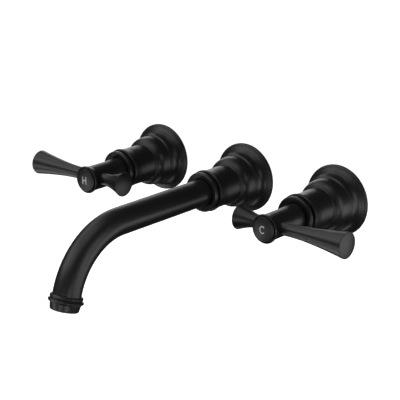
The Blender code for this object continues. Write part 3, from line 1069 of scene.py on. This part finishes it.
@dataclass
class Spout:
    """The bent pipe and its outlet.

    Attributes:
        straight_end: Distance out of the wall where the bend starts.
        bend_radius: Radius of the bend's centre line.
        bend: Angle of the bend in degrees.
        radius: Outer radius of the pipe.
        bore: Inner radius.
        start: Where the pipe starts in the bushing.
        tail: Straight length past the bend.
        sides: Number of flats round the pipe.
        bend_steps: Number of steps round the bend.
    """

    radius: float = 11.92
    bore: float = 9.6
    start: float = 30.3
    straight_end: float = 167.0
    bend_radius: float = 63.3
    bend: float = 74.0
    tail: float = 0.8
    sides: int = 96
    bend_steps: int = 64

    def station(self, angle: float, past: float = 0.0) -> tuple[Vector, Vector]:
        """Find where the pipe's centre line is.

        Args:
            angle: Angle round the bend in radians.
            past: Distance straight on from there.

        Returns:
            The centre in metres and the direction.
        """
        out, down = Vector((0.0, -1.0, 0.0)), Vector((0.0, 0.0, -1.0))
        direction = out * math.cos(angle) + down * math.sin(angle)
        centre = (out * (self.straight_end + self.bend_radius * math.sin(angle))
                  + down * (self.bend_radius * (1 - math.cos(angle))) + direction * past) * MM
        return centre + unit_axis(Side.SPOUT).origin, direction

    def stations(self) -> list[tuple[Vector, Vector]]:
        """List the stations of the pipe, from its end in the bushing to the outlet ring.

        Returns:
            Centre and direction of each station.
        """
        bend = math.radians(self.bend)
        straight = [unit_axis(Side.SPOUT).at(along) for along in (self.start, 100.0)]
        stations = [(centre, Vector((0.0, -1.0, 0.0))) for centre in straight]
        stations += [self.station(bend * step / self.bend_steps) for step in range(self.bend_steps + 1)]
        return stations + [self.station(bend, self.tail)]

    def tube(self) -> bpy.types.Object:
        """Build the pipe with its water way.

        Returns:
            The pipe.
        """
        mesh_data = bmesh.new()
        side = Vector((1.0, 0.0, 0.0))
        loops = []
        for radius in (self.radius, self.bore):
            rings = []
            for centre, direction in self.stations():
                up = direction.cross(side)
                angles = [math.tau * step / self.sides for step in range(self.sides)]
                rings.append([mesh_data.verts.new(
                    centre + (side * math.cos(angle) + up * math.sin(angle)) * radius * MM)
                    for angle in angles])
            loops.append(rings)
        skin_rings(mesh_data, loops[0] + loops[1][::-1], closed=True)
        return new_object("spout_tube_piece", mesh_data)

    def outlet_axis(self) -> Axis:
        """Find the axis of the outlet, from the end of the bend."""
        centre, direction = self.station(math.radians(self.bend))
        return Axis(centre, direction, Vector((1.0, 0.0, 0.0)))

    def tip_ring(self) -> list[Point]:
        """Outline of the outlet ring: a small bead above a larger one."""
        return rounded([
            (-2.0, 7.8, 0.2), (-2.0, 9.0, 0.2), (0.85, 9.0, 0.0), (0.85, 12.6, 0.2),
            (1.3, 13.3, 0.6), (2.6, 13.9, 1.0), (3.8, 13.3, 0.5), (4.1, 12.8, 0.25),
            (4.4, 13.6, 0.5), (5.4, 14.95, 0.9), (6.7, 14.55, 0.9), (7.15, 13.2, 0.3),
            (7.15, 9.6, 0.2), (2.0, 9.6, 0.2), (2.0, 7.8, 0.2)])

    def housing(self) -> list[Point]:
        """Outline of the tapered aerator housing."""
        return rounded([
            (4.2, 8.0, 0.2), (4.2, 9.3, 0.2), (7.25, 9.3, 0.0), (7.25, 12.95, 0.3),
            (13.1, 11.95, 0.5), (13.7, 11.35, 0.25), (13.7, 10.1, 0.3), (8.9, 10.0, 0.2),
            (8.9, 8.0, 0.2)])

    def build(self, shop: Workshop) -> None:
        """Build and deliver the pipe, outlet ring and aerator housing.

        Args:
            shop: The workshop.
        """
        axis = self.outlet_axis()
        shop.deliver(self.tube(), "spout_tube")
        shop.deliver(turned("spout_tip_ring_piece", self.tip_ring(), axis, 96), "spout_tip_ring")
        shop.deliver(turned("spout_housing_piece", self.housing(), axis, 96), "spout_aerator_housing")


# ------------------------------------------------------------------ studio

@dataclass(frozen=True)
class SoftBox:
    """One soft studio light, aimed at the middle of the faucet.

    Attributes:
        name: Name of the light.
        azimuth: Bearing in degrees, 0 in front of the wall and 90 to the right.
        elevation: Height in degrees above the middle.
        watts: Power.
        width: Width in metres.
        height: Height in metres.
        distance: Distance from the middle in metres.
    """

    name: str
    azimuth: float
    elevation: float
    watts: float
    width: float = 0.8
    height: float = 0.8
    distance: float = 1.8

    def build(self, target: Vector) -> None:
        """Add the light.

        Args:
            target: Point that it is aimed at.
        """
        data = bpy.data.lights.new(self.name, "AREA")
        data.shape = "RECTANGLE"
        data.size, data.size_y = self.width, self.height
        data.energy = self.watts
        lamp = bpy.data.objects.new(self.name, data)
        lamp.visible_camera = False
        bearing, rise = math.radians(self.azimuth), math.radians(self.elevation)
        towards = Vector((math.sin(bearing) * math.cos(rise), -math.cos(bearing) * math.cos(rise),
                          math.sin(rise)))
        lamp.location = target + towards * self.distance
        lamp.rotation_euler = towards.to_track_quat("Z", "Y").to_euler()
        bpy.context.scene.collection.objects.link(lamp)


@dataclass
class Studio:
    """Pale floor, soft lights and the world behind them.

    Attributes:
        boxes: The soft lights.
        fill: Brightness of the dim surroundings that the faucet reflects.
        floor_drop: How far the floor lies below the wall's centre line, in metres.
        floor_size: Width of the floor in metres.
    """

    boxes: tuple[SoftBox, ...]
    fill: float = 0.018
    floor_drop: float = 0.55
    floor_size: float = 12.0

    def floor(self) -> None:
        """Lay a plain pale floor."""
        mesh_data = bmesh.new()
        bmesh.ops.create_grid(mesh_data, x_segments=8, y_segments=8, size=self.floor_size / 2)
        floor = new_object("studio_floor", mesh_data)
        floor.location.z = -self.floor_drop
        paint = bpy.data.materials.new("studio_floor_paint")
        paint.use_nodes = True
        shader = paint.node_tree.nodes["Principled BSDF"]
        shader.inputs["Base Color"].default_value = (0.93, 0.93, 0.93, 1.0)
        shader.inputs["Roughness"].default_value = 0.8
        shader.inputs["Emission Color"].default_value = (1.0, 1.0, 1.0, 1.0)
        shader.inputs["Emission Strength"].default_value = 1.0
        floor.data.materials.append(paint)
        floor.visible_glossy = False
        floor.visible_diffuse = False
        floor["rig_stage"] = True

    def world(self) -> None:
        """Show the backdrop as plain white while the faucet reflects dim surroundings."""
        world = bpy.data.worlds.new("studio_world")
        bpy.context.scene.world = world
        world.use_nodes = True
        nodes, links = world.node_tree.nodes, world.node_tree.links
        background = nodes["Background"]
        path = nodes.new("ShaderNodeLightPath")
        backdrop = nodes.new("ShaderNodeBackground")
        backdrop.inputs["Color"].default_value = (1.0, 1.0, 1.0, 1.0)
        background.inputs["Color"].default_value = (self.fill, self.fill, self.fill, 1.0)
        mix = nodes.new("ShaderNodeMixShader")
        links.new(path.outputs["Is Camera Ray"], mix.inputs[0])
        links.new(background.outputs[0], mix.inputs[1])
        links.new(backdrop.outputs[0], mix.inputs[2])
        links.new(mix.outputs[0], nodes["World Output"].inputs["Surface"])

    def build(self) -> None:
        """Set up the studio."""
        self.floor()
        self.world()
        middle = (CAD_BOX[0] + CAD_BOX[1]) / 2
        for box in self.boxes:
            box.build(middle)
        bpy.context.scene.view_settings.view_transform = "Standard"
        bpy.context.scene.view_settings.look = "None"


@dataclass(frozen=True)
class ProductCamera:
    """Long-lens camera in front of the wall, to the right and above.

    Attributes:
        azimuth: Bearing in degrees from straight in front, to the right.
        elevation: Height in degrees.
        roll: Roll in degrees.
        distance: Distance from the camera's plane to the spout's escutcheon in metres.
        slide: Offset to the right and up, in metres.
        lens: Focal length in millimetres on a 36 mm wide sensor.
    """

    azimuth: float = 40.247
    elevation: float = 17.983
    roll: float = 0.477
    distance: float = 1.22462
    slide: tuple[float, float] = (-0.04169, -0.02104)
    lens: float = 120.706

    def build(self) -> None:
        """Add the camera and make it the scene's own."""
        bearing, rise = math.radians(self.azimuth), math.radians(self.elevation)
        back = Vector((math.sin(bearing) * math.cos(rise), -math.cos(bearing) * math.cos(rise),
                       math.sin(rise)))
        level = Vector((math.cos(bearing), math.sin(bearing), 0.0))
        tilt = Matrix.Rotation(math.radians(self.roll), 3, back)
        right, up = tilt @ level, tilt @ back.cross(level)
        data = bpy.data.cameras.new("product_camera")
        data.lens, data.sensor_width = self.lens, 36.0
        data.clip_start, data.clip_end = 0.01, 100.0
        camera = bpy.data.objects.new("product_camera", data)
        place = back * self.distance + right * self.slide[0] + up * self.slide[1]
        turn = Matrix((right, up, back)).transposed().to_4x4()
        camera.matrix_world = Matrix.Translation(place) @ turn
        bpy.context.scene.collection.objects.link(camera)
        bpy.context.scene.camera = camera


# A soft tent round the faucet: tall panels at both sides, low ones in front, weak ones behind
SOFT_TENT = (
    SoftBox("overhead", 0.0, 80.0, 4.2, 1.2, 1.0),
    SoftBox("left_key", 312.0, 32.0, 6.2, 1.2, 0.8),
    SoftBox("front_high", 350.0, 46.0, 4.2, 1.1, 0.8),
    SoftBox("left_low", 320.0, -20.0, 4.6, 0.8, 0.8),
    SoftBox("front_low", 8.0, -14.0, 4.2, 0.8, 0.8),
    SoftBox("front_right", 54.0, -14.0, 6.4, 0.7, 0.7),
    SoftBox("right_side", 96.0, 4.0, 7.6, 0.8, 1.5),
    SoftBox("right_back", 128.0, -14.0, 5.4, 1.0, 0.9),
    SoftBox("left_back", 222.0, 10.0, 5.4, 1.0, 1.0),
    SoftBox("left_back_high", 268.0, 50.0, 4.6, 1.2, 1.0),
    SoftBox("left_bounce", 280.0, -45.0, 4.0, 0.8, 0.8),
    SoftBox("under", 180.0, -75.0, 2.2, 0.8, 0.8),
)


def main() -> None:
    """Build the faucet and its studio."""
    logging.basicConfig(level=logging.INFO, format="%(message)s")
    shop = Workshop()
    for side in Side:
        Escutcheon(side).build(shop)
    for side in (Side.HOT, Side.COLD):
        WallStub(side, side.value + "_valve_body", 5.0, VALVE_NOSE).build(shop)
    WallStub(Side.SPOUT, "spout_nipple", 6.0, nipple_nose()).build(shop)
    Lever(Side.HOT, -1.0).build(shop)
    Lever(Side.COLD, 1.0).build(shop)
    Spout().build(shop)
    replaced = {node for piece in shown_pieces() for node in piece.get("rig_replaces", [])}
    for node in sorted(set(FRAME["nodes"]) - replaced):
        shop.dress_node(node)
    Studio(SOFT_TENT).build()
    ProductCamera().build()


if __name__ == "__main__":
    main()
